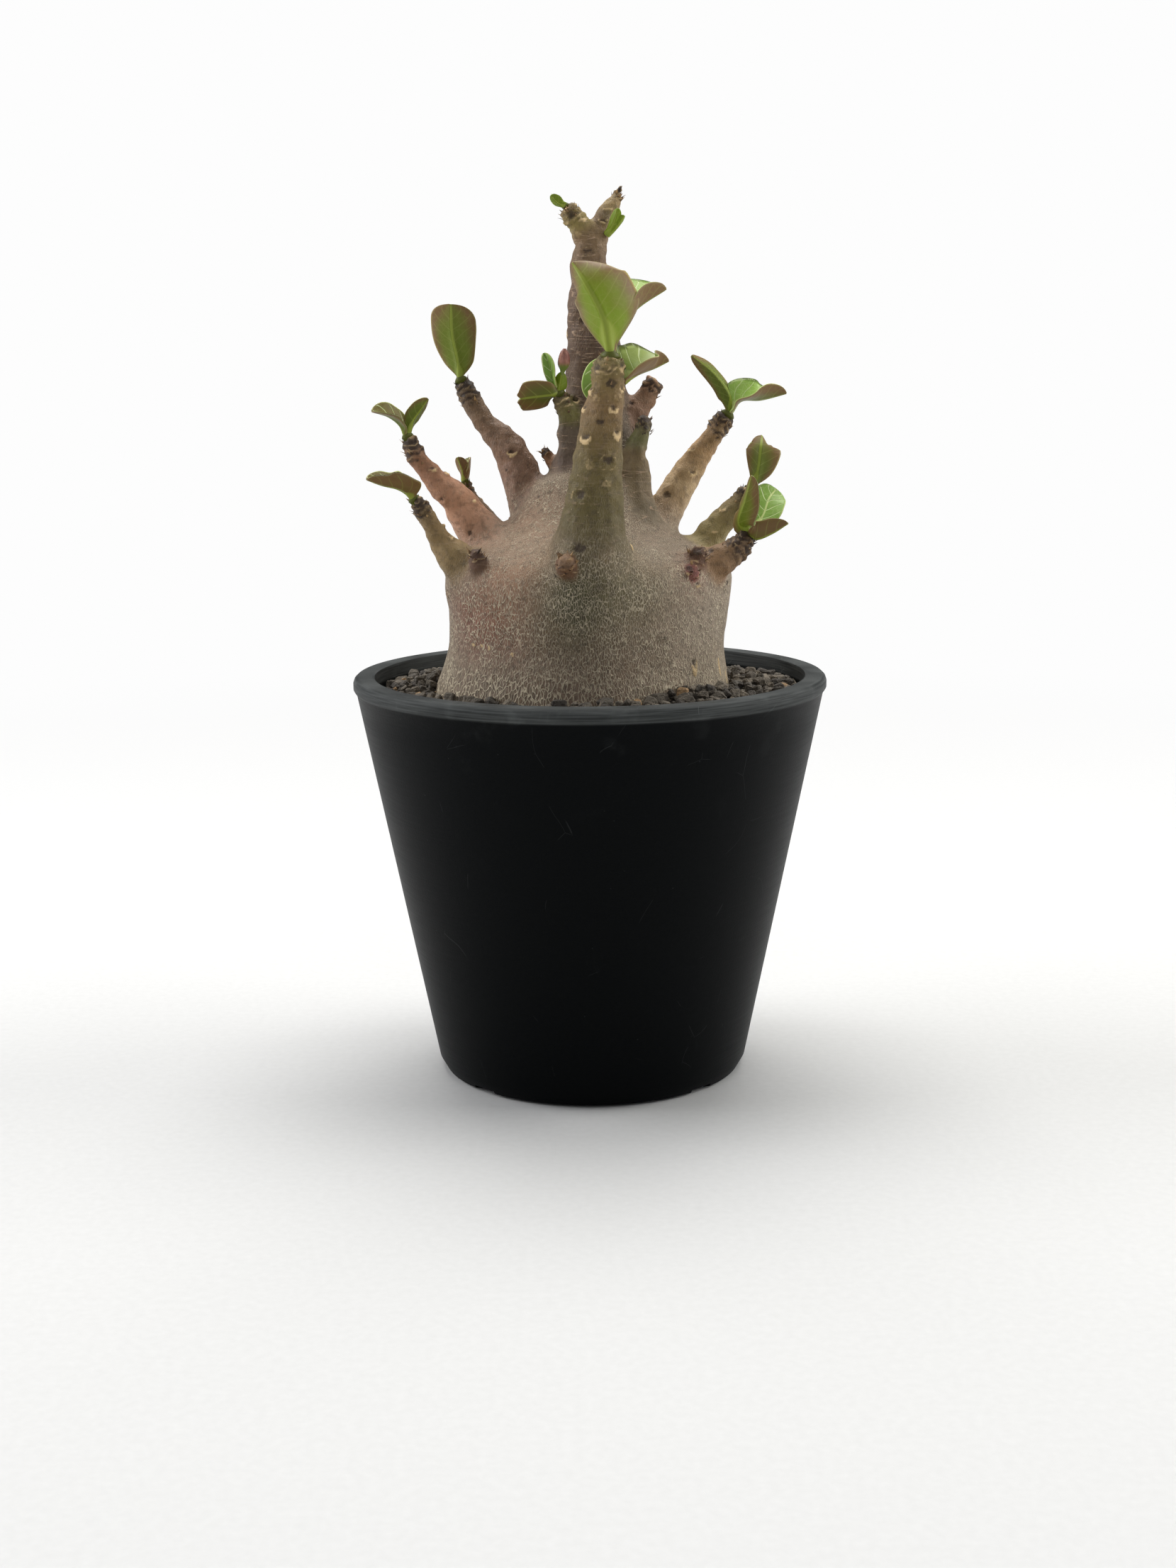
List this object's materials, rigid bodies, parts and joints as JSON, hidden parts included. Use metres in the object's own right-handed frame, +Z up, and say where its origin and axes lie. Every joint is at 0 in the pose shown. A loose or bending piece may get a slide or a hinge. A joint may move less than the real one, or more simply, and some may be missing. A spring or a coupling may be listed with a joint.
{
  "type": "potted desert rose adenium",
  "caption": "Potted desert rose: a swollen grey caudex with pruned branches and young leaves, in gravelly soil in a round black plastic pot.",
  "frame": {"origin": "centre of the pot's foot, on the surface it stands on", "axes": "+Z up through the pot and the caudex, -Y towards the front, where the front branch stands, +X to the right as seen from the front"},
  "size_m": [0.12, 0.12, 0.2243],
  "materials": {
    "pot": "satin",
    "soil": "matte",
    "bark": "matte",
    "leaf": "satin",
    "flower_bud": "satin"
  },
  "bodies": {
    "root": {"pot": "pot", "soil": "soil", "plant": "bark", "leaves_front": "leaf", "leaf_front_right": "leaf", "leaf_front_left": "leaf", "leaves_trunk_left": "leaf", "leaf_upper_left": "leaf", "leaves_left": "leaf", "leaf_low_left": "leaf", "leaves_small_left": "leaf", "leaves_upper_right": "leaf", "leaf_right": "leaf", "leaves_low_right": "leaf", "leaf_crown_left": "leaf", "leaves_crown_right": "leaf", "leaves_back": "leaf", "flower_bud": "flower_bud"}
  },
  "joints": []
}
